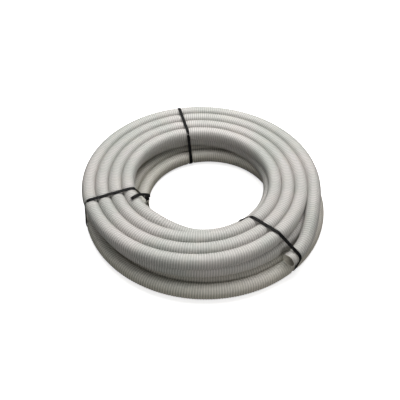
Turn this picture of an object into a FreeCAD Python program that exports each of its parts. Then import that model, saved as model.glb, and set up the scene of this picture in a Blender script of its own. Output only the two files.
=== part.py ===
"""Coil of ribbed waste hose, held by three cable ties whose pawls can pivot.

Millimetres, +Z up. The coil lies flat on the XY plane. Angles are in degrees, anticlockwise
seen from above, 0 along +X. The hose is wound clockwise: outwards in the bottom layer, back
inwards in the middle layer, and outwards again in the top layer, to its free end.
"""
import FreeCAD
import Part
import math
import os

V = FreeCAD.Vector
UP = V(0, 0, 1)
ORIGIN = V(0, 0, 0)

# ---- hose -------------------------------------------------------------------------------
hose_od = 33.0            # over the ribs
hose_wall = 2.25          # ribs included
hose_bore = hose_od - 2 * hose_wall      # smooth inside
turn_press = 2.2          # how far neighbouring turns of the soft hose press into each other
layer_press = 3.1         # and layers
turn_pitch = hose_od - turn_press        # between neighbouring turns of a layer
layer_rise = hose_od - layer_press       # from one layer's centres up to the next

# ---- layers: radius of the innermost turn where it starts, start angle, spiral's centre ------
bottom_start_r = 149.0
bottom_start = 310.0
bottom_centre = (7.7, -7.7)
bottom_turns = 4          # whole turns, before the stretch that climbs to the middle layer
bottom_extra = 265.0      # degrees of that stretch

middle_start_r = 164.7
middle_start = 250.0
middle_centre = (-11.8, 10.2)
middle_turns = 3
middle_extra = 153.0

top_start_r = 163.0
top_start = 250.0
top_centre = (-14.9, 2.0)
top_turns = 3
top_extra = 260.0         # the fourth turn, up to where the free end leaves it

# ---- open ends ----------------------------------------------------------------------------
# The free end steps out and down, to lie on the bottom layer beside the middle one.
free_run = 48.0           # first run of the free end, along the turn that it leaves
free_points = ((231.7, -161.3, 62.0), (208.7, -201.3, 51.5), (181.7, -227.8, 50.0))
inner_end_sweep = 44.0    # degrees of the innermost turn that are an open tube
inner_end_curve = 34.0    # degrees of them that stay on the turn's own curve
inner_mouth_run = 34.0    # then straight, to the mouth

# ---- climbs from one layer up to the next ---------------------------------------------------
climb_half = 22.0         # degrees of travel before and after the place where the layers meet
climb_run = 0.3           # share of a climb that is a level run, at each end

# ---- cable ties ---------------------------------------------------------------------------
strap_width = 7.6
strap_thick = 1.5
strap_side_gap = 0.2      # between a strap and the sides of the channel it presses in the hose
head_length = 9.6
head_width = 12.4
head_height = 6.8
head_root = 5.6           # part of the head's length that lies on the strap's own side
slot_gap = 0.25           # round the strap where it passes through the head
tooth_pitch = 1.6
tooth_depth = 0.4
bend_r = 1.2              # inside radius where the strap turns up into the head
pawl_root_r = 0.7
pawl_height = 3.4         # from the pawl's pivot to its tip, along the slot
pawl_ledge = 1.3          # thickness of the head's floor, under the pawl
pawl_gap = 0.1            # round the pawl's root, and between its tip and the teeth
pawl_side_gap = 0.4
pawl_swing_room = 1.1     # behind the pawl, for it to lift off the teeth

# Each tie lies in a vertical plane through hub, whose outward direction is heading. The head
# faces facing: 0 is outwards, 90 up and 180 towards the coil's middle. The tail stands straight
# out of the head. A long tail then bends over the coil, between guides: how far out along the
# heading, how far to the side, and how high. A slack strap stands off the turns at slack.
TIES = {
    "back": {"hub": (-50.3, 199.7), "heading": 104.0, "facing": -12.0, "straight": 9.5},
    "left": {"hub": (-233.3, -72.3), "heading": 203.0, "facing": 160.5, "straight": 6.8,
             "slack": (-84.6, 42.0),
             "guides": ((-110.0, -12.0, 60.0), (-90.0, -22.0, 89.0), (-72.0, -33.0, 102.0),
                        (-57.0, -37.0, 94.5))},
    "front": {"hub": (159.7, -183.3), "heading": -41.0, "facing": 205.0, "straight": 10.0},
}
tail_lead = 9.0           # straight out of the head, before the first guide pulls
tail_sections = 14


def polar(radius, angle, z=0.0):
    a = math.radians(angle)
    return V(radius * math.cos(a), radius * math.sin(a), z)


# ---- the layers of turns --------------------------------------------------------------------
class Layer:
    """A spiral of two centres: each half turn is a circular arc, and the arcs join smoothly.

    sense is +1 where the spiral grows anticlockwise and -1 where it grows clockwise.
    """

    def __init__(self, level, start_r, start, centre, sense, turns, extra):
        self.z = hose_od / 2 + level * layer_rise
        self.start_r, self.start, self.sense = start_r, start, sense
        self.centre = V(centre[0], centre[1], 0)
        self.turns, self.extra = turns, extra

    def hub(self, half):
        shift = -turn_pitch / 4 if half == 0 else turn_pitch / 4
        return self.centre + polar(shift, self.start)

    def radius(self, half, column):
        return self.start_r + turn_pitch * (column + (0.25 if half == 0 else 0.75))

    def point(self, column, travelled):
        """The hose's centre after so many degrees of a column, and its direction of growth."""
        half = 0 if travelled <= 180 else 1
        angle = self.start + self.sense * travelled
        place = self.hub(half) + polar(self.radius(half, column), angle, self.z)
        return place, polar(1.0, angle + 90 * self.sense)

    def crossings(self, hub, heading):
        """How far out from a tie's hub, along its plane, the turns of this layer lie."""
        found = []
        for half in (0, 1):
            apart = hub - self.hub(half)
            along = apart.dot(polar(1.0, heading))
            for column in range(self.turns + 1):
                square = along ** 2 - apart.Length ** 2 + self.radius(half, column) ** 2
                reach = math.sqrt(square) - along
                place = hub + polar(reach, heading) - self.centre
                angle = math.degrees(math.atan2(place.y, place.x))
                travelled = self.sense * (angle - self.start) % 360
                wound = column < self.turns or travelled <= self.extra
                if wound and (travelled < 180) == (half == 0):
                    found.append(reach)
        return found


bottom = Layer(0, bottom_start_r, bottom_start, bottom_centre, -1, bottom_turns, bottom_extra)
middle = Layer(1, middle_start_r, middle_start, middle_centre, +1, middle_turns, middle_extra)
top = Layer(2, top_start_r, top_start, top_centre, -1, top_turns, top_extra)


def row_outline(layer, half, first, last, floor, ceiling):
    """Section of neighbouring turns, in the XZ plane: round turns, cut flat where asked."""
    r = hose_od / 2
    centres = [layer.radius(half, k) for k in range(first, last + 1)]
    groove = math.degrees(math.acos(turn_pitch / 2 / r))
    edges = []

    def at(x, angle):
        return V(x, 0, layer.z) + V(r * math.cos(math.radians(angle)), 0,
                                    r * math.sin(math.radians(angle)))

    def arc(x, a, b):
        edges.append(Part.Arc(at(x, a), at(x, (a + b) / 2), at(x, b)).toShape())

    def side(level, sign, row):
        """One side of the row, from its first centre's far side over to the other's."""
        if level is None:
            for k, x in enumerate(row):
                lead = 0 if k == 0 else groove
                trail = 0 if k == len(row) - 1 else groove
                arc(x, sign * lead, sign * (180 - trail))
        elif sign < 0 or len(row) < 4:
            cut = math.degrees(math.asin((level - layer.z) / r * sign))
            arc(row[0], 0, sign * cut)
            edges.append(Part.makeLine(at(row[0], sign * cut), at(row[-1], sign * (180 - cut))))
            arc(row[-1], sign * (180 - cut), sign * 180)
        else:
            cut = math.degrees(math.asin((level - layer.z) / r))
            arc(row[0], 0, 180 - groove)
            arc(row[1], groove, cut)
            edges.append(Part.makeLine(at(row[1], cut), at(row[-2], 180 - cut)))
            arc(row[-2], 180 - cut, 180 - groove)
            arc(row[-1], groove, 180)

    outwards = centres[::-1]
    side(ceiling, +1, outwards)
    upper = edges[:]
    edges.clear()
    side(floor, -1, outwards)
    return Part.Face(Part.Wire(upper + edges[::-1]))


def sector(layer, half, first, last, begin, end, floor=None, ceiling=None):
    """The turns first to last of one half, between two angles of travel, as one solid."""
    face = row_outline(layer, half, first, last, floor, ceiling)
    a = layer.start + layer.sense * begin
    b = layer.start + layer.sense * end
    face.rotate(ORIGIN, UP, min(a, b))
    face.translate(layer.hub(half))
    return face.revolve(layer.hub(half), UP, abs(b - a))


def make_coil():
    low = hose_od / 2 + layer_rise / 2
    high = low + layer_rise
    n, m, t = bottom_turns, middle_turns, top_turns
    leave, join, c = bottom_extra - climb_half, middle_extra - climb_half, climb_half
    pieces = [
        sector(bottom, 0, 1, n, 0, inner_end_sweep, ceiling=low),
        sector(bottom, 0, 0, n, inner_end_sweep, 180, ceiling=low),
        sector(bottom, 1, 0, n, 180, leave, ceiling=low),
        sector(bottom, 1, 0, n - 1, leave, 360, ceiling=low),
        sector(middle, 0, 1, m, 0, c, floor=low, ceiling=high),
        sector(middle, 0, 0, m, c, join, floor=low, ceiling=high),
        sector(middle, 0, 0, m - 1, join, 180, floor=low, ceiling=high),
        sector(middle, 1, 0, m - 1, 180, 360, floor=low, ceiling=high),
        sector(top, 0, 1, t, 0, c, floor=high),
        sector(top, 0, 0, t, c, 180, floor=high),
        sector(top, 1, 0, t, 180, top_extra, floor=high),
        sector(top, 1, 0, t - 1, top_extra, 360, floor=high),
        climb(bottom.point(n, leave), middle.point(m, join), +1, "outer climb"),
        climb(top.point(0, c), middle.point(0, c), -1, "inner climb"),
    ]
    return pieces[0].multiFuse(pieces[1:]).removeSplitter()


def climb(one, other, sign, name):
    """The hose between two layers: on from where they end (sign +1), or back from where they
    begin (-1)."""
    (a, a_growth), (b, b_growth) = one, other
    run = (b - a).Length * climb_run * sign
    wire = route_wire([a, a + a_growth * run, b + b_growth * run, b], name)
    return pipe(wire, a, a_growth * sign, hose_od / 2)


# ---- tubes along a route ----------------------------------------------------------------------
def route_wire(points, name):
    """Straight runs joined by tangent arcs, each as large as its two runs allow."""
    edges, here = [], points[0]
    for before, corner, after in zip(points, points[1:], points[2:]):
        a, b = before - corner, after - corner
        half_turn = (math.pi - a.getAngle(b)) / 2
        reach = 0.45 * min(a.Length, b.Length)
        radius = reach / math.tan(half_turn)
        a.normalize()
        b.normalize()
        enter, leave = corner + a * reach, corner + b * reach
        inward = a + b
        inward.normalize()
        middle_point = corner + inward * (radius / math.cos(half_turn) - radius)
        edges.append(Part.LineSegment(here, enter).toShape())
        edges.append(Part.Arc(enter, middle_point, leave).toShape())
        here = leave
        print(f"{name}: bend radius {radius:.0f} mm")
    edges.append(Part.LineSegment(here, points[-1]).toShape())
    return Part.Wire(edges)


def pipe(wire, start, heading, radius):
    ring = Part.Wire(Part.makeCircle(radius, start, heading))
    return wire.makePipeShell([ring], True, False)


def tube(points, name):
    """The open tube along a route, and the same with no bore."""
    wire = route_wire(points, name)
    heading = points[1] - points[0]
    outer = pipe(wire, points[0], heading, hose_od / 2)
    bore = pipe(wire, points[0], heading, hose_bore / 2)
    wanted = math.pi * hose_od ** 2 / 4 * wire.Length
    print(f"{name}: length {wire.Length:.1f} mm, volume {outer.Volume / wanted:.4f} of section x length")
    return outer.cut(bore), outer


def free_end_route():
    place, direction = top.point(top_turns, top_extra)
    return [place, place + direction * free_run] + [V(*p) for p in free_points]


def inner_end_route():
    """Back along the innermost turn, by corners just outside its curve, then straight."""
    steps = 3
    step = inner_end_curve / steps
    corner_r = bottom.radius(0, 0) / math.cos(math.radians(step / 2))
    begin = bottom.start + bottom.sense * inner_end_sweep
    corners = [bottom.hub(0) + polar(corner_r, begin - bottom.sense * step * (k + 0.5), bottom.z)
               for k in range(steps)]
    last, direction = bottom.point(0, inner_end_sweep - inner_end_curve)
    return [bottom.point(0, inner_end_sweep)[0]] + corners + [last - direction * inner_mouth_run]


# ---- cable ties ---------------------------------------------------------------------------------
def hull(points):
    """Corners of the tight loop round points, anticlockwise."""
    points = sorted(points)

    def chain(row):
        out = []
        for p in row:
            while len(out) > 1 and ((out[-1][0] - out[-2][0]) * (p[1] - out[-2][1])
                                    - (out[-1][1] - out[-2][1]) * (p[0] - out[-2][0])) <= 0:
                out.pop()
            out.append(p)
        return out[:-1]

    return chain(points) + chain(points[::-1])


def loop_edges(corners, facing, radius, lead, trail):
    """One face of a strap round the corners: arcs and lines, from facing+lead round to facing-trail."""
    n = len(corners)

    def normal(i):
        a, b = corners[i % n], corners[(i + 1) % n]
        return math.degrees(math.atan2(a[0] - b[0], b[1] - a[1]))

    def on(i, angle):
        a = math.radians(angle)
        return V(corners[i % n][0] + radius * math.cos(a), corners[i % n][1] + radius * math.sin(a), 0)

    seat = seat_corner(corners, facing)
    edges = []
    begin = facing + lead
    for k in range(n + 1):
        i = seat + k
        end = facing + 360 - trail if k == n else begin + (normal(i) - begin) % 360
        edges.append(Part.Arc(on(i, begin), on(i, (begin + end) / 2), on(i, end)).toShape())
        if k < n:
            edges.append(Part.makeLine(on(i, end), on(i + 1, end)))
        begin = end
    return edges


def seat_corner(corners, facing):
    """The corner that lies furthest in the direction that the head faces."""
    a = math.radians(facing)
    reach = [c[0] * math.cos(a) + c[1] * math.sin(a) for c in corners]
    return reach.index(max(reach))


class Tie:
    """One cable tie. Drawn flat, X outwards and Y up, then stood up in its plane."""

    def __init__(self, hub, heading, facing, straight, end_wires, slack=None, guides=()):
        self.hub, self.heading, self.facing = V(hub[0], hub[1], 0), heading, facing
        self.straight, self.guides = straight, guides
        centres = [(reach, layer.z) for layer in (bottom, middle, top)
                   for reach in layer.crossings(self.hub, heading)]
        for wire in end_wires:
            centres += self.wire_crossings(wire)
        if slack:
            centres.append(slack)
        self.corners = hull(centres)
        corner = self.corners[seat_corner(self.corners, facing)]
        self.seat = V(corner[0], corner[1], 0)

    def wire_crossings(self, wire):
        across = polar(1.0, self.heading + 90)
        out = polar(1.0, self.heading)
        points = [p - self.hub for p in wire.discretize(120)]
        found = []
        for a, b in zip(points, points[1:]):
            u, v = a.dot(across), b.dot(across)
            if u * v <= 0 and u != v:
                p = a + (b - a) * (u / (u - v))
                if abs(p.dot(out)) < 6 * hose_od:
                    found.append((p.dot(out), p.z))
        return found

    def local(self, t, n):
        """A point of the head: t along the strap, on the side it arrives from, n out of the seat."""
        a = math.radians(self.facing)
        out, back = V(math.cos(a), math.sin(a), 0), V(math.sin(a), -math.cos(a), 0)
        return self.seat + out * (hose_od / 2 + n) + back * t

    def stand(self, face, width):
        """Give a flat face its width, and stand it up in the tie's plane."""
        solid = face.extrude(V(0, 0, width))
        solid.translate(V(0, 0, -width / 2))
        return self.raise_up(solid)

    def raise_up(self, solid):
        solid.rotate(ORIGIN, V(1, 0, 0), 90)
        solid.rotate(ORIGIN, UP, self.heading)
        solid.translate(self.hub)
        return solid

    def block(self, t0, t1, n0, n1, width):
        corners = [self.local(t0, n0), self.local(t1, n0), self.local(t1, n1), self.local(t0, n1)]
        return self.stand(Part.Face(Part.makePolygon(corners + corners[:1])), width)

    def side(self, loop_r, turn_r, t):
        """One face of the strap, edge on: round the coil, up through the head, along the tail."""
        centre_r = bend_r + strap_thick / 2
        turn_t = bend_r + strap_thick
        turn_n = math.sqrt((hose_od / 2 - strap_thick / 2 + centre_r) ** 2 - turn_t ** 2) - hose_od / 2
        trail = math.degrees(math.atan2(turn_t, turn_n + hose_od / 2))
        lead = math.degrees(slot_gap / loop_r)
        edges = loop_edges(self.corners, self.facing, loop_r, lead, trail)
        edges.append(self.arc(turn_t, turn_n, turn_r, 270 - trail, 180))
        top_n = turn_n + self.straight
        edges.append(Part.makeLine(self.local(t, turn_n), self.local(t, top_n)))
        self.top_n = top_n
        return edges

    def arc(self, t, n, radius, begin, end):
        def on(angle):
            a = math.radians(angle)
            return self.local(t + radius * math.cos(a), n + radius * math.sin(a))
        return Part.Arc(on(begin), on((begin + end) / 2), on(end)).toShape()

    def strap(self):
        inner = self.side(hose_od / 2 - strap_thick, bend_r + strap_thick, 0.0)
        outer = self.side(hose_od / 2, bend_r, strap_thick)
        ends = [Part.makeLine(inner[k].Vertexes[v].Point, outer[k].Vertexes[v].Point)
                for k, v in ((0, 0), (-1, -1))]
        wire = Part.Wire(Part.sortEdges(inner + outer + ends)[0])
        band = self.stand(Part.Face(wire), strap_width).cut(self.teeth())
        return band.fuse(self.tail()) if self.guides else band

    def tail(self):
        """The long tail: a flat strip on a smooth curve that the guides pull into shape."""
        begin = self.local(strap_thick / 2, self.top_n)
        ahead = self.local(strap_thick / 2, self.top_n + tail_lead)
        pulls = [begin, ahead] + [V(x, z, side) for x, side, z in self.guides]

        def on_curve(u, row):
            while len(row) > 1:
                row = [a + (b - a) * u for a, b in zip(row, row[1:])]
            return row[0]

        sections = []
        for k in range(tail_sections + 1):
            u = k / tail_sections
            centre = on_curve(u, pulls)
            along = on_curve(u, [b - a for a, b in zip(pulls, pulls[1:])])
            along.normalize()
            wide = UP - along * UP.dot(along)
            wide.normalize()
            thick = along.cross(wide) * (strap_thick / 2)
            wide = wide * (strap_width / 2)
            sections.append([centre + wide + thick, centre - wide + thick,
                             centre - wide - thick, centre + wide - thick])
        faces = [sections[0], sections[-1]]
        for a, b in zip(sections, sections[1:]):
            for j, k in ((0, 1), (1, 2), (2, 3), (3, 0)):
                faces += [[a[j], a[k], b[k]], [a[j], b[k], b[j]]]
        faces = [Part.Face(Part.makePolygon(row + row[:1])) for row in faces]
        return self.raise_up(Part.makeSolid(Part.makeShell(faces)))

    def teeth(self):
        """Notches across the face that the pawl catches, on the straight stretch of the tail."""
        count = int((self.straight - 1.0) / tooth_pitch)
        cutters = []
        for k in range(count):
            n = 1.6 + k * tooth_pitch
            corners = [self.local(-0.2, n), self.local(tooth_depth, n),
                       self.local(-0.2, n + 0.8 * tooth_pitch)]
            face = Part.Face(Part.makePolygon(corners + corners[:1]))
            cutters.append(self.stand(face, strap_width - 4 * pawl_side_gap))
        return Part.makeCompound(cutters)

    def head(self):
        far = head_length - head_root
        chamber = -(pawl_pivot_t + pawl_root_r + pawl_swing_room)
        slot_width = strap_width + 2 * slot_gap
        body = self.block(-head_root, far, 0, head_height, head_width)
        body = body.cut(self.block(-slot_gap, far + 1, -1, pawl_ledge, head_width + 2))
        body = body.cut(self.block(chamber, strap_thick + slot_gap, pawl_ledge,
                                   head_height + 1, slot_width))
        foot = self.block(-head_root, -0.8 * slot_gap, -strap_thick / 2, pawl_ledge / 2, strap_width)
        return body.fuse(foot)

    def moulding(self):
        return self.strap().fuse(self.head()).removeSplitter()

    def pawl(self):
        """A wedge on a round root, leaning towards the teeth, which it clears by pawl_gap."""
        t, n = -pawl_pivot_t, pawl_pivot_n
        top = n + pawl_height
        corners = [self.local(t - pawl_root_r, n), self.local(t - pawl_root_r / 2, top),
                   self.local(-pawl_gap, top), self.local(-pawl_gap, top - 1.2),
                   self.local(t + pawl_root_r, n)]
        wedge = self.stand(Part.Face(Part.makePolygon(corners + corners[:1])),
                           strap_width - 2 * pawl_side_gap)
        ring = Part.Wire(Part.makeCircle(pawl_root_r, self.local(t, n), V(0, 0, 1)))
        root = self.stand(Part.Face(ring), strap_width - 2 * pawl_side_gap)
        return wedge.fuse(root).removeSplitter()

    def channel(self):
        """What the tie presses into the hose: a band round the coil, and the head's seat."""
        hoops = [Part.Face(Part.Wire(Part.sortEdges(
            loop_edges(self.corners, self.facing, r, 0.0, 0.0))[0]))
            for r in (hose_od / 2 + 3 * strap_thick, hose_od / 2 - strap_thick)]
        band = self.stand(hoops[0].cut(hoops[1]), strap_width + 2 * strap_side_gap)
        seat = self.block(-head_root, head_length - head_root, 0, head_height, head_width)
        return band.fuse(seat)


pawl_pivot_t = pawl_root_r + pawl_swing_room
pawl_pivot_n = pawl_ledge + pawl_gap + pawl_root_r


def main():
    os.makedirs("parts", exist_ok=True)
    coil = make_coil()
    free_end, free_outer = tube(free_end_route(), "free end")
    inner_end, inner_outer = tube(inner_end_route(), "inner end")
    coil = coil.cut(free_outer).cut(inner_outer)
    wires = {"front": [route_wire(free_end_route(), "free end"),
                       route_wire(inner_end_route(), "inner end")]}
    pieces = {}
    for name, values in TIES.items():
        tie = Tie(end_wires=wires.get(name, []), **values)
        channel = tie.channel()
        coil = coil.cut(channel)
        free_end = free_end.cut(channel)
        inner_end = inner_end.cut(channel)
        pieces[f"tie_{name}"] = tie.moulding()
        pieces[f"pawl_{name}"] = tie.pawl()
    pieces.update(hose_coil=coil, hose_free_end=free_end, hose_inner_end=inner_end)
    for name, shape in pieces.items():
        solids = shape.Solids
        print(f"{name}: {len(solids)} solid, valid {shape.isValid()}, volume {shape.Volume:.1f}")
        # The pipes and turns can leave a crumb between them: only the piece itself is kept.
        max(solids, key=lambda solid: solid.Volume).exportStep(f"parts/{name}.step")
    box = Part.makeCompound(list(pieces.values())).optimalBoundingBox(False)
    print("box", [round(v, 1) for v in (box.XMin, box.XMax, box.YMin, box.YMax, box.ZMin, box.ZMax)])


main()
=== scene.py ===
"""Looks of a coil of ribbed waste hose, tied with three cable ties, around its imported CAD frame."""
import bpy
import math
import numpy as np
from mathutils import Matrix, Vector


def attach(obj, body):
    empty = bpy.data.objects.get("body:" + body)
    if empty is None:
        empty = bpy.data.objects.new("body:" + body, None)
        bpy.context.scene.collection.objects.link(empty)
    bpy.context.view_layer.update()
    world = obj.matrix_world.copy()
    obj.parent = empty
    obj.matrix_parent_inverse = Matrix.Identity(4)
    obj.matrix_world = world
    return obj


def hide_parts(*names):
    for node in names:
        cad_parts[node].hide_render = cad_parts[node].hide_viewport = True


bl_info = {
    "name": "Waste Hose Coil",
    "version": (1, 0, 0),
    "blender": (4, 5, 0),
    "location": "View3D > Sidebar > Hose Coil",
    "description": "Ribbed waste hose, its cable ties and a pale studio",
    "category": "Object",
}

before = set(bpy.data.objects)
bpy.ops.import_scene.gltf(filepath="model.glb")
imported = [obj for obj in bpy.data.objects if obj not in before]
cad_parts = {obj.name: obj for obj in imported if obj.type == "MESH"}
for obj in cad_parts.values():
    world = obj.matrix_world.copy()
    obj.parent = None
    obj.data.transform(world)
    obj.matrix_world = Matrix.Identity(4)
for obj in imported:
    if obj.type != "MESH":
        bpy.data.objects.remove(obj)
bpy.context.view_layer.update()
MM = 0.001
BODY = "hose_and_ties"

# ---- route of the hose, in metres and degrees, as in the CAD but with softer bends -----------
TURN_PITCH = 30.8 * MM
LAYER_Z = (16.5 * MM, 46.4 * MM, 76.3 * MM)
# centre, radius at zero growth, and travel at which the layer's growth is zero
BOTTOM = ((7.7 * MM, -7.7 * MM), 149.0 * MM, 0.0)
MIDDLE = ((-11.8 * MM, 10.2 * MM), 164.7 * MM, 2940.0)
TOP = ((-14.9 * MM, 2.0 * MM), 163.0 * MM, 2940.0)
START_ANGLE = 310.0
OUTER_CLIMB = 1706.0      # travel at which the hose climbs from the bottom layer, in degrees
INNER_CLIMB = 2940.0      # and from the middle one to the top
CLIMB_HALF = 20.0
FIRST_TRAVEL = 18.0
LAST_TRAVEL = 4274.0
POINT_STEP = 15.0         # degrees between the coil's points: 24 a turn
SQUARING = 0.45           # how far the coiled hose is from round
ROUND_START = 50 * MM     # length that stays round at the inner mouth
ROUND_END = 220 * MM      # and at the free end
SQUARING_RUN = 150 * MM   # over which it gets squared, beyond those
# the points of the two ends, in millimetres
INNER_MOUTH = ((110.5, -120.5, 16.5), (88.0, -133.5, 16.5))
FREE_END = ((248.4, -100.9, 76.0), (231.7, -161.3, 62.0),
            (208.7, -201.3, 51.5), (181.7, -227.8, 50.0))

# Planes of the back, left and front ties: a point on each and its outward heading.
TIE_PLANES = (
    ((-50.3 * MM, 199.7 * MM), 104.0),
    ((-233.3 * MM, -72.3 * MM), 203.0),
    ((159.7 * MM, -183.3 * MM), -41.0),
)
TIE_REACH = 120 * MM      # how far from its point a tie's strap can be
GRIP = 12 * MM            # from a strap's middle to where the hose is plain again
GRIP_FADE = 7.6 * MM      # over which the squeeze fades out beside a strap

# ---- colours that aren't settings ------------------------------------------------------------
DUST_COLOUR = (0.60, 0.575, 0.52)
BORE_COLOUR = (0.62, 0.60, 0.53)
BORE_STAIN = (0.48, 0.46, 0.40)

# ---- stage -----------------------------------------------------------------------------------
# lamps, aimed at one target: name, place, width, share of the light's power and tint
LAMPS = (("overhead", (0.1, 0.85, 1.6), 2.4, 1.0, (1.0, 0.99, 0.97)),
         ("fill", (0.5, -1.8, 0.45), 1.0, 0.12, (1.0, 0.97, 0.93)))
LAMP_TARGET = (0, 0, 0.05)
FLOOR_SIZE = 8.0
FLOOR_DROP = 0.4 * MM     # how far the floor lies under the part
FLOOR_BOUNCE = 0.12       # grey of the floor where it throws light at the coil
FLOOR_GLOW = 0.7          # its own brightness where it is looked at
BACKDROP = 0.95           # brightness of the background where it is looked at
CAMERA_LENS = 49.29
CAMERA_SHIFT = (-0.00896, -0.01377)
CAMERA_TARGET = (-1.3 * MM, -20.3 * MM, 46.2 * MM)
CAMERA_ELEVATION = 44.55  # degrees above the floor
CAMERA_DISTANCE = 1.3281  # from the target, in metres

# ---- how finely the hose is drawn ------------------------------------------------------------
FRAME_REACH = 6 * MM      # either way, where a ring's direction is read off the line
WALL_COLUMNS = 24         # corners of a ring of the wall
RING_STEP = 9.0 * MM      # between rings, where the hose is plain
TIED_RING_STEP = 2.2 * MM  # and where a tie squeezes it
LOOK_AHEAD = 8.0 * MM     # how far before a tie the rings get closer
LAST_STEP = 2.0 * MM      # shortest stretch that gets a ring of its own before the end
LIP = 0.25 * MM           # rounding of the cut ends
BORE_DEPTH = 130 * MM     # how far the bore is open behind each mouth
BORE_RINGS = 24
FIRST_BORE_RING = 3 * MM  # behind the mouth
RIB_SEGMENTS = 20         # steps of a rib's helix in a turn of the rib
RIB_PIECES = 14
RIB_SPARE = 0.6           # hose left without ribs at each end, in rib pitches
RIB_SINK = 0.35 * MM      # depth of a rib's foot in the wall
RIB_SHOULDER = 0.62       # share of a rib's half width and height where it rounds over


class HoseSettings(bpy.types.PropertyGroup):
    diameter: bpy.props.FloatProperty(
        name="Diameter", description="Over the ribs", default=33.0 * MM,
        unit="LENGTH", precision=5)
    bore: bpy.props.FloatProperty(
        name="Bore", description="Smooth inside diameter", default=28.5 * MM,
        unit="LENGTH", precision=5)
    rib_pitch: bpy.props.FloatProperty(
        name="Rib pitch", description="From one rib to the next", default=5.5 * MM,
        unit="LENGTH", precision=5)
    rib_height: bpy.props.FloatProperty(
        name="Rib height", description="Of the ribs above the wall", default=0.95 * MM,
        unit="LENGTH", precision=5)
    rib_width: bpy.props.FloatProperty(
        name="Rib width", description="Of a rib at its foot", default=2.9 * MM,
        unit="LENGTH", precision=5)
    squeeze: bpy.props.FloatProperty(
        name="Squeeze", description="How much thinner the hose is under a tie", default=1.75 * MM,
        unit="LENGTH", precision=5)
    colour: bpy.props.FloatVectorProperty(
        name="Wall colour", description="Colour of the hose", subtype="COLOR", size=3,
        default=(0.43, 0.43, 0.415), min=0.0, max=1.0)
    rib_colour: bpy.props.FloatVectorProperty(
        name="Rib colour", description="Colour of the stiff ribs", subtype="COLOR", size=3,
        default=(0.62, 0.61, 0.595), min=0.0, max=1.0)
    cut_colour: bpy.props.FloatVectorProperty(
        name="Cut colour", description="Colour of the freshly cut ends", subtype="COLOR", size=3,
        default=(0.78, 0.76, 0.68), min=0.0, max=1.0)


class TieSettings(bpy.types.PropertyGroup):
    colour: bpy.props.FloatVectorProperty(
        name="Nylon colour", description="Colour of the cable ties", subtype="COLOR", size=3,
        default=(0.0025, 0.0025, 0.003), min=0.0, max=1.0)
    roughness: bpy.props.FloatProperty(
        name="Roughness", description="Of the moulded nylon", default=0.5, min=0.0, max=1.0)


class StudioSettings(bpy.types.PropertyGroup):
    floor_colour: bpy.props.FloatVectorProperty(
        name="Floor colour", description="Colour of the floor", subtype="COLOR", size=3,
        default=(0.9, 0.9, 0.9), min=0.0, max=1.0)
    light: bpy.props.FloatProperty(
        name="Light", description="Power of the large light overhead", default=56.0, min=0.0,
        unit="POWER")
    sky: bpy.props.FloatProperty(
        name="Sky", description="Strength of the even light from all round", default=0.15, min=0.0)


# ---- node helpers ---------------------------------------------------------------------------
def new_group(name, inputs, outputs):
    """A shader node group with named sockets: (name, socket type, default) each."""
    group = bpy.data.node_groups.new(name, "ShaderNodeTree")
    for side, rows in (("INPUT", inputs), ("OUTPUT", outputs)):
        for label, kind, value in rows:
            socket = group.interface.new_socket(label, in_out=side, socket_type=kind)
            if value is not None:
                socket.default_value = value
    return group, group.nodes.new("NodeGroupInput"), group.nodes.new("NodeGroupOutput")


def add_node(tree, kind, **values):
    node = tree.nodes.new(kind)
    for key, value in values.items():
        node.inputs[key].default_value = value
    return node


def feed(tree, node, values):
    """Set a node's inputs: each value, by the input's number, is a socket or a plain value."""
    for index, value in values.items():
        if isinstance(value, bpy.types.NodeSocket):
            tree.links.new(value, node.inputs[index])
        else:
            node.inputs[index].default_value = value


def mix_colour(tree, factor, a, b):
    """A Mix node on colours; its factor is input 0 and the colours are 6 and 7."""
    node = tree.nodes.new("ShaderNodeMix")
    node.data_type = "RGBA"
    feed(tree, node, {0: factor, 6: a, 7: b})
    return node.outputs[2]


def math_node(tree, operation, a, b=0.0, c=0.5):
    node = tree.nodes.new("ShaderNodeMath")
    node.operation = operation
    feed(tree, node, {0: a, 1: b, 2: c})
    return node.outputs[0]


def ramp(tree, value, low, high):
    """0 at low, 1 at high, smooth between."""
    node = tree.nodes.new("ShaderNodeMapRange")
    node.interpolation_type = "SMOOTHSTEP"
    node.inputs["From Min"].default_value = low
    node.inputs["From Max"].default_value = high
    tree.links.new(value, node.inputs["Value"])
    return node.outputs["Result"]


def mottle_group():
    """Soft and fine patches of another tone: cloudy plastic, dust and rubbed places."""
    if "Mottle" in bpy.data.node_groups:
        return bpy.data.node_groups["Mottle"]
    group, given, result = new_group(
        "Mottle",
        [("Vector", "NodeSocketVector", None), ("Size", "NodeSocketFloat", 30.0),
         ("Low", "NodeSocketFloat", 0.4), ("High", "NodeSocketFloat", 0.7)],
        [("Patches", "NodeSocketFloat", None), ("Fine", "NodeSocketFloat", None)])
    noise = add_node(group, "ShaderNodeTexNoise", Detail=4.0, Roughness=0.55)
    fine = add_node(group, "ShaderNodeTexNoise", Detail=2.0, Roughness=0.6)
    group.links.new(given.outputs["Vector"], noise.inputs["Vector"])
    group.links.new(given.outputs["Vector"], fine.inputs["Vector"])
    group.links.new(given.outputs["Size"], noise.inputs["Scale"])
    group.links.new(math_node(group, "MULTIPLY", given.outputs["Size"], 14.0), fine.inputs["Scale"])
    patches = group.nodes.new("ShaderNodeMapRange")
    patches.interpolation_type = "SMOOTHSTEP"
    group.links.new(noise.outputs["Fac"], patches.inputs["Value"])
    group.links.new(given.outputs["Low"], patches.inputs["From Min"])
    group.links.new(given.outputs["High"], patches.inputs["From Max"])
    group.links.new(patches.outputs["Result"], result.inputs["Patches"])
    group.links.new(fine.outputs["Fac"], result.inputs["Fine"])
    return group


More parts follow.
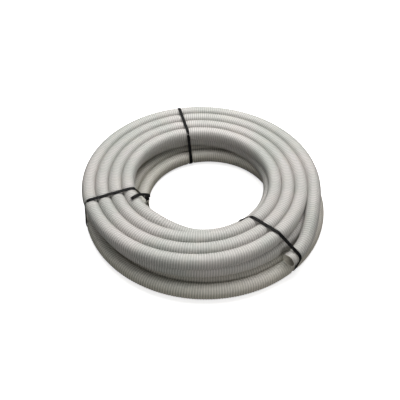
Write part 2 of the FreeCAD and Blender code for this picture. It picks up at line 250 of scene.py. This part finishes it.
def use_mottle(tree, vector, size, low, high):
    node = tree.nodes.new("ShaderNodeGroup")
    node.node_tree = mottle_group()
    tree.links.new(vector, node.inputs["Vector"])
    for key, value in (("Size", size), ("Low", low), ("High", high)):
        node.inputs[key].default_value = value
    return node.outputs["Patches"], node.outputs["Fine"]


def new_material(name):
    material = bpy.data.materials.new(name)
    material.use_nodes = True
    tree = material.node_tree
    shader = tree.nodes["Principled BSDF"]
    place = tree.nodes.new("ShaderNodeTexCoord").outputs["Object"]
    return material, tree, shader, place


def roughen(tree, shader, height, strength, distance):
    """Small bumps on a finish, from a pattern's height."""
    bump = add_node(tree, "ShaderNodeBump", Strength=strength, Distance=distance)
    tree.links.new(height, bump.inputs["Height"])
    tree.links.new(bump.outputs["Normal"], shader.inputs["Normal"])


def rgba(colour, gain=1.0):
    return tuple(min(1.0, c * gain) for c in colour) + (1.0,)


def pvc_material(name, colour, roughness, dusty):
    """Soft grey waste-hose plastic: cloudy tone, dust in patches, fine rub marks, and painted warm
    bounce light low down.
    """
    material, tree, shader, place = new_material(name)
    cloud, fine = use_mottle(tree, place, size=9.0, low=0.36, high=0.66)
    dust, grit = use_mottle(tree, place, size=42.0, low=0.48, high=0.74)
    red, green, blue = colour
    tone = mix_colour(tree, cloud, rgba((0.92 * red, 0.95 * green, 0.93 * blue)),
                      rgba((1.07 * red, 1.04 * green, 1.04 * blue)))
    tone = mix_colour(tree, math_node(tree, "MULTIPLY", dust, dusty), tone,
                      rgba(DUST_COLOUR))
    # painted warm bounce light: the lowest layer is painted yellower and a little lighter than those
    # above it, more so towards the floor
    axes = tree.nodes.new("ShaderNodeSeparateXYZ")
    tree.links.new(place, axes.inputs["Vector"])
    lowness = ramp(tree, axes.outputs["Z"], low=48 * MM, high=14 * MM)
    painted_warm_light = math_node(tree, "MULTIPLY", lowness, 0.5)
    tone = mix_colour(tree, painted_warm_light, tone, rgba((1.12 * red, 1.06 * green, 0.86 * blue)))
    speck = math_node(tree, "MULTIPLY", ramp(tree, fine, low=0.62, high=0.74), 0.35)
    tone = mix_colour(tree, speck, tone, rgba(colour, gain=0.72))
    tree.links.new(tone, shader.inputs["Base Color"])
    tree.links.new(math_node(tree, "MULTIPLY_ADD", dust, 0.18, roughness),
                   shader.inputs["Roughness"])
    roughen(tree, shader, grit, strength=0.25, distance=0.4 * MM)
    shader.inputs["Specular IOR Level"].default_value = 0.42
    return material


def cut_material(settings):
    """The cut edge of the wall: creamy, faintly scored by the knife."""
    material, tree, shader, place = new_material("Cut PVC edge")
    cloud, fine = use_mottle(tree, place, size=60.0, low=0.4, high=0.65)
    tone = mix_colour(tree, cloud, rgba(settings.cut_colour, gain=0.93),
                      rgba(settings.cut_colour, gain=1.05))
    tree.links.new(tone, shader.inputs["Base Color"])
    tree.links.new(ramp(tree, fine, low=-0.6, high=1.4), shader.inputs["Roughness"])
    roughen(tree, shader, fine, strength=0.3, distance=0.3 * MM)
    return material


def bore_material():
    """The smooth bore: cream, a little stained."""
    material, tree, shader, place = new_material("Smooth bore")
    stain, fine = use_mottle(tree, place, size=35.0, low=0.42, high=0.68)
    tone = mix_colour(tree, stain, rgba(BORE_COLOUR), rgba(BORE_STAIN))
    tree.links.new(tone, shader.inputs["Base Color"])
    tree.links.new(ramp(tree, fine, low=-0.3, high=1.9), shader.inputs["Roughness"])
    return material


def nylon_material(settings):
    """Black moulded nylon: dull, with a faint grain and paler rubbed patches."""
    material, tree, shader, place = new_material("Black nylon")
    rub, grain = use_mottle(tree, place, size=110.0, low=0.52, high=0.78)
    tone = mix_colour(tree, math_node(tree, "MULTIPLY", rub, 0.5), rgba(settings.colour),
                      rgba(settings.colour, gain=1.8))
    tree.links.new(tone, shader.inputs["Base Color"])
    tree.links.new(math_node(tree, "MULTIPLY_ADD", grain, 0.2, settings.roughness - 0.06),
                   shader.inputs["Roughness"])
    roughen(tree, shader, grain, strength=0.2, distance=0.2 * MM)
    shader.inputs["Specular IOR Level"].default_value = 0.1
    return material


# ---- the hose's line -------------------------------------------------------------------------
def smooth(x):
    x = min(1.0, max(0.0, x))
    return x * x * (3 - 2 * x)


def on_layer(layer, travel, sense):
    """A place on a layer's spiral, as the hose passes it after so many degrees of travel."""
    (x, y), start_r, zero = layer
    angle = math.radians(START_ANGLE - travel)
    radius = start_r + TURN_PITCH * sense * (travel - zero) / 360
    radius /= math.cos(math.radians(POINT_STEP / 2))
    return Vector((x + radius * math.cos(angle), y + radius * math.sin(angle), 0))


def coil_point(travel):
    """A point of the coil: on its layer, or between two of them where the hose climbs."""
    to_middle = smooth((travel - OUTER_CLIMB + CLIMB_HALF) / (2 * CLIMB_HALF))
    to_top = smooth((travel - INNER_CLIMB + CLIMB_HALF) / (2 * CLIMB_HALF))
    if to_top > 0:
        low, high, part, levels = MIDDLE, TOP, to_top, LAYER_Z[1:]
        a, b = on_layer(low, travel, -1), on_layer(high, travel, +1)
    else:
        low, high, part, levels = BOTTOM, MIDDLE, to_middle, LAYER_Z[:2]
        a, b = on_layer(low, travel, +1), on_layer(high, travel, -1)
    point = a.lerp(b, part)
    point.z = levels[0] + (levels[1] - levels[0]) * part
    return point


def route_points():
    points = [Vector(p) * MM for p in INNER_MOUTH]
    count = round((LAST_TRAVEL - FIRST_TRAVEL) / POINT_STEP)
    for k in range(count + 1):
        points.append(coil_point(FIRST_TRAVEL + (LAST_TRAVEL - FIRST_TRAVEL) * k / count))
    return points + [Vector(p) * MM for p in FREE_END]


def make_line():
    """The route as one smooth spline, read back as closely spaced places."""
    data = bpy.data.curves.new("hose_route", "CURVE")
    data.dimensions = "3D"
    spline = data.splines.new("NURBS")
    points = route_points()
    spline.points.add(len(points) - 1)
    for slot, point in zip(spline.points, points):
        slot.co = (*point, 1.0)
    spline.order_u = 3
    spline.use_endpoint_u = True
    spline.resolution_u = 14
    route = bpy.data.objects.new("hose_route", data)
    bpy.context.scene.collection.objects.link(route)
    bpy.context.view_layer.update()
    shown = route.evaluated_get(bpy.context.evaluated_depsgraph_get())
    mesh = bpy.data.meshes.new_from_object(shown)
    places = np.empty(len(mesh.vertices) * 3)
    mesh.vertices.foreach_get("co", places)
    bpy.data.meshes.remove(mesh)
    bpy.data.objects.remove(route)
    bpy.data.curves.remove(data)
    return places.reshape(-1, 3)


class Line:
    """The hose's centreline: places at any distance along it, and the frame of a ring there."""

    def __init__(self, places):
        self.places = places
        self.at = np.concatenate([[0], np.cumsum(np.linalg.norm(np.diff(places, axis=0), axis=1))])
        self.length = float(self.at[-1])

    def centre(self, s):
        return np.stack([np.interp(s, self.at, self.places[:, k]) for k in range(3)], axis=-1)

    def frames(self, s):
        """Centre, sideways and upward directions of the rings at distances s."""
        ahead = self.centre(np.minimum(s + FRAME_REACH, self.length))
        back = self.centre(np.maximum(s - FRAME_REACH, 0))
        along = ahead - back
        along /= np.linalg.norm(along, axis=-1, keepdims=True)
        side = np.cross(along, [0.0, 0.0, 1.0])
        side /= np.linalg.norm(side, axis=-1, keepdims=True)
        return self.centre(s), side, np.cross(side, along)


def squeezed(points):
    """How far points are inside a tie's grip: 1 under a strap, 0 well beside it."""
    grip = np.zeros(points.shape[:-1])
    for (x, y), heading in TIE_PLANES:
        a = math.radians(heading)
        dx, dy = points[..., 0] - x, points[..., 1] - y
        across = np.abs(-dx * math.sin(a) + dy * math.cos(a))
        out = dx * math.cos(a) + dy * math.sin(a)
        near = np.clip((GRIP - across) / GRIP_FADE, 0, 1)
        near = near * near * (3 - 2 * near)
        grip = np.maximum(grip, np.where(np.abs(out) < TIE_REACH, near, 0))
    return grip


def ring_points(line, s, angle, radius, squeeze):
    """Places on the hose at distances s, angles round it and radii, thinner under the ties.

    Where turns press on each other the hose is a little squared, not quite round.
    """
    centre, side, up = line.frames(s)
    coiled = np.minimum(s - ROUND_START, line.length - ROUND_END - s) / SQUARING_RUN
    coiled = np.clip(coiled, 0, 1)
    power = 2 + SQUARING * coiled
    cos, sin = np.abs(np.cos(angle)), np.abs(np.sin(angle))
    radius = radius / (cos ** power + sin ** power) ** (1 / power)
    radius = radius - squeeze * squeezed(centre)
    across, upward = radius * np.cos(angle), radius * np.sin(angle)
    return centre + side * across[..., None] + up * upward[..., None]


def grid_faces(rows, columns):
    """Faces between rows of points, each row closed on itself."""
    k = np.arange(rows - 1)[:, None] * columns
    j = np.arange(columns)[None, :]
    after = (j + 1) % columns
    quads = np.stack([k + j, k + after, k + columns + after, k + columns + j], axis=-1)
    return quads.reshape(-1, 4).tolist()


def new_piece(name, vertices, faces, materials, indices=None):
    """A smooth mesh object; the indices say which of its materials each face has."""
    mesh = bpy.data.meshes.new(name)
    mesh.from_pydata(np.asarray(vertices).tolist(), [], faces)
    for material in materials:
        mesh.materials.append(material)
    mesh.polygons.foreach_set("use_smooth", np.ones(len(mesh.polygons), dtype=bool))
    if indices is not None:
        mesh.polygons.foreach_set("material_index", np.asarray(indices, dtype=np.int32))
    mesh.update()
    piece = bpy.data.objects.new(name, mesh)
    bpy.context.scene.collection.objects.link(piece)
    return piece


def hose_line():
    """The hose's centreline, made once and kept for the ribs."""
    if not hasattr(hose_line, "kept"):
        hose_line.kept = Line(make_line())
    return hose_line.kept


class OBJECT_OT_hose_wall(bpy.types.Operator):
    """Make the hose's wall, with its bore and its cut ends"""
    bl_idname = "object.hose_wall"
    bl_label = "Hose wall"

    def execute(self, context):
        settings = context.scene.hose
        line = hose_line()
        outer = settings.diameter / 2 - settings.rib_height
        inner = settings.bore / 2
        # rings further apart where the hose is plain, closer beside the ties
        s, stops = 0.0, [0.0]
        while s < line.length - LAST_STEP:
            tied = squeezed(line.centre(np.array([s, s + LOOK_AHEAD]))).max() > 0
            s = min(s + (TIED_RING_STEP if tied else RING_STEP), line.length)
            stops.append(s)
        if stops[-1] < line.length:
            stops.append(line.length)
        # inwards at each mouth: rounded lip, cut face, then the bore, closed far inside
        front = [(line.length, outer - LIP), (line.length, inner + LIP), (line.length - LIP, inner)]
        front += [(line.length - d, inner)
                  for d in np.linspace(FIRST_BORE_RING, BORE_DEPTH, BORE_RINGS)]
        back = [(line.length - x, r) for x, r in front]
        rings = [(x, outer) for x in stops]
        rings[0] = (LIP, outer)
        rings[-1] = (line.length - LIP, outer)
        rows = np.array(back[::-1] + rings + front)
        count, depth = len(rows), len(front)
        angle = np.arange(WALL_COLUMNS) * 2 * math.pi / WALL_COLUMNS
        vertices = ring_points(line, rows[:, :1].repeat(WALL_COLUMNS, 1),
                               angle[None, :].repeat(count, 0),
                               rows[:, 1:].repeat(WALL_COLUMNS, 1), settings.squeeze)
        faces = grid_faces(count, WALL_COLUMNS)
        plain, cut, bore = 0, 1, 2
        slots = []
        for row in range(count - 1):
            if row < depth - 3 or row > count - depth + 1:
                finish = bore
            elif row < depth or row > count - depth - 2:
                finish = cut
            else:
                finish = plain
            slots += [finish] * WALL_COLUMNS
        faces += [list(range(WALL_COLUMNS))[::-1],
                  [(count - 1) * WALL_COLUMNS + j for j in range(WALL_COLUMNS)]]
        slots += [bore, bore]
        wall = pvc_material("Grey PVC wall", settings.colour, roughness=0.42, dusty=0.35)
        piece = new_piece("hose_wall", vertices.reshape(-1, 3), faces,
                          [wall, cut_material(settings), bore_material()], slots)
        bpy.ops.object.select_all(action="DESELECT")
        context.view_layer.objects.active = piece
        piece.select_set(True)
        bpy.ops.object.mode_set(mode="EDIT")
        bpy.ops.mesh.select_all(action="SELECT")
        bpy.ops.mesh.normals_make_consistent(inside=False)
        bpy.ops.object.mode_set(mode="OBJECT")
        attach(piece, BODY)
        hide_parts("hose_coil", "hose_free_end", "hose_inner_end")
        return {"FINISHED"}


class OBJECT_OT_hose_ribs(bpy.types.Operator):
    """Wind the stiff ribs round the hose, in pieces of equal length"""
    bl_idname = "object.hose_ribs"
    bl_label = "Hose ribs"

    def execute(self, context):
        settings = context.scene.hose
        line = hose_line()
        root = settings.diameter / 2 - settings.rib_height
        half, height = settings.rib_width / 2, settings.rib_height
        # across a rib: along the hose, and out from the wall
        along = np.array([-half, -half * RIB_SHOULDER, 0.0, half * RIB_SHOULDER, half])
        out = root + np.array([-RIB_SINK, RIB_SHOULDER * height, height,
                               RIB_SHOULDER * height, -RIB_SINK])
        n = len(along)
        spare = RIB_SPARE * settings.rib_pitch
        count = int((line.length - 2 * spare) / settings.rib_pitch * RIB_SEGMENTS)
        material = pvc_material("Grey PVC ribs", settings.rib_colour, roughness=0.36, dusty=0.25)
        bounds = np.linspace(0, count, RIB_PIECES + 1).astype(int)
        for number, (a, b) in enumerate(zip(bounds, bounds[1:]), 1):
            k = np.arange(a, b + 1)
            s = spare + k * settings.rib_pitch / RIB_SEGMENTS
            angle = k * 2 * math.pi / RIB_SEGMENTS
            vertices = ring_points(line, s[:, None] + along[None, :], angle[:, None].repeat(n, 1),
                                   out[None, :].repeat(len(k), 0), settings.squeeze)
            faces = grid_faces(len(k), n)
            faces += [list(range(n))[::-1], [(len(k) - 1) * n + j for j in range(n)]]
            piece = new_piece(f"hose_ribs_{number:02d}", vertices.reshape(-1, 3), faces, [material])
            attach(piece, BODY)
        end = line.centre(np.array([line.length]))[0]
        return {"FINISHED"}


class OBJECT_OT_cable_ties(bpy.types.Operator):
    """Give the cable ties and their pawls their black nylon"""
    bl_idname = "object.cable_ties"
    bl_label = "Cable ties"

    def execute(self, context):
        nylon = nylon_material(context.scene.cable_tie)
        for name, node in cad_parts.items():
            if name.startswith(("tie_", "pawl_")):
                for slot in node.material_slots:
                    slot.material = nylon
        return {"FINISHED"}


class OBJECT_OT_hose_studio(bpy.types.Operator):
    """Make the pale floor, the soft lights and the camera"""
    bl_idname = "object.hose_studio"
    bl_label = "Studio"

    def execute(self, context):
        settings = context.scene.studio
        scene = context.scene
        bpy.ops.object.select_all(action="DESELECT")
        bpy.ops.mesh.primitive_plane_add(size=FLOOR_SIZE, location=(0, 0, -FLOOR_DROP))
        floor = context.active_object
        floor.name = "studio_floor"
        material, tree, shader, place = new_material("Pale floor")
        cloud = use_mottle(tree, place, size=3.0, low=0.3, high=0.7)[0]
        tone = mix_colour(tree, cloud, rgba(settings.floor_colour, gain=0.99),
                          rgba(settings.floor_colour, gain=1.01))
        # seen white, but throwing little light up under the coil
        seen = tree.nodes.new("ShaderNodeLightPath").outputs["Is Camera Ray"]
        tree.links.new(mix_colour(tree, seen, rgba((FLOOR_BOUNCE,) * 3), tone),
                       shader.inputs["Base Color"])
        shader.inputs["Emission Color"].default_value = (1.0, 1.0, 1.0, 1.0)
        tree.links.new(math_node(tree, "MULTIPLY", seen, FLOOR_GLOW),
                       shader.inputs["Emission Strength"])
        shader.inputs["Roughness"].default_value = 0.9
        shader.inputs["Specular IOR Level"].default_value = 0.1
        floor.data.materials.append(material)

        scene.view_settings.view_transform = "Standard"
        world = scene.world or bpy.data.worlds.new("World")
        scene.world = world
        world.use_nodes = True
        sky = world.node_tree.nodes["Background"]
        sky.inputs["Color"].default_value = (1.0, 1.0, 1.0, 1.0)
        # pale where it is looked at, and dim where it lights the coil
        paths = world.node_tree.nodes.new("ShaderNodeLightPath")
        strength = math_node(world.node_tree, "MULTIPLY_ADD", paths.outputs["Is Camera Ray"],
                             BACKDROP - settings.sky, settings.sky)
        world.node_tree.links.new(strength, sky.inputs["Strength"])
        for name, place, size, share, tint in LAMPS:
            lamp = bpy.data.lights.new(name, "AREA")
            lamp.shape = "DISK"
            lamp.size = size
            lamp.energy = settings.light * share
            lamp.color = tint
            holder = bpy.data.objects.new(name, lamp)
            scene.collection.objects.link(holder)
            holder.location = place
            aim = Vector(LAMP_TARGET) - Vector(place)
            holder.rotation_euler = aim.to_track_quat("-Z", "Y").to_euler()
        lens = bpy.data.cameras.new("camera")
        lens.lens = CAMERA_LENS
        lens.sensor_width = 36.0
        lens.shift_x, lens.shift_y = CAMERA_SHIFT
        camera = bpy.data.objects.new("camera", lens)
        scene.collection.objects.link(camera)
        elevation = math.radians(CAMERA_ELEVATION)
        away = Vector((0, -math.cos(elevation), math.sin(elevation)))
        camera.location = Vector(CAMERA_TARGET) + away * CAMERA_DISTANCE
        camera.rotation_euler = (-away).to_track_quat("-Z", "Y").to_euler()
        scene.camera = camera
        return {"FINISHED"}


class VIEW3D_PT_hose_coil(bpy.types.Panel):
    """The hose coil's pieces and sizes"""
    bl_idname = "VIEW3D_PT_hose_coil"
    bl_label = "Hose Coil"
    bl_space_type = "VIEW_3D"
    bl_region_type = "UI"
    bl_category = "Hose Coil"

    def draw(self, context):
        for title, group in (("Hose", context.scene.hose), ("Cable ties", context.scene.cable_tie),
                             ("Studio", context.scene.studio)):
            box = self.layout.box()
            box.label(text=title)
            for key in group.__annotations__:
                box.prop(group, key)
        for operator in OPERATORS:
            self.layout.operator(operator.bl_idname)


OPERATORS = (OBJECT_OT_hose_studio, OBJECT_OT_hose_wall, OBJECT_OT_hose_ribs, OBJECT_OT_cable_ties)
CLASSES = (HoseSettings, TieSettings, StudioSettings) + OPERATORS + (VIEW3D_PT_hose_coil,)


def register():
    for cls in CLASSES:
        bpy.utils.register_class(cls)
    bpy.types.Scene.hose = bpy.props.PointerProperty(type=HoseSettings)
    bpy.types.Scene.cable_tie = bpy.props.PointerProperty(type=TieSettings)
    bpy.types.Scene.studio = bpy.props.PointerProperty(type=StudioSettings)


def unregister():
    for name in ("hose", "cable_tie", "studio"):
        delattr(bpy.types.Scene, name)
    for cls in reversed(CLASSES):
        bpy.utils.unregister_class(cls)


def main():
    register()
    bpy.ops.object.hose_studio()
    bpy.ops.object.hose_wall()
    bpy.ops.object.hose_ribs()
    bpy.ops.object.cable_ties()


if __name__ == "__main__":
    main()
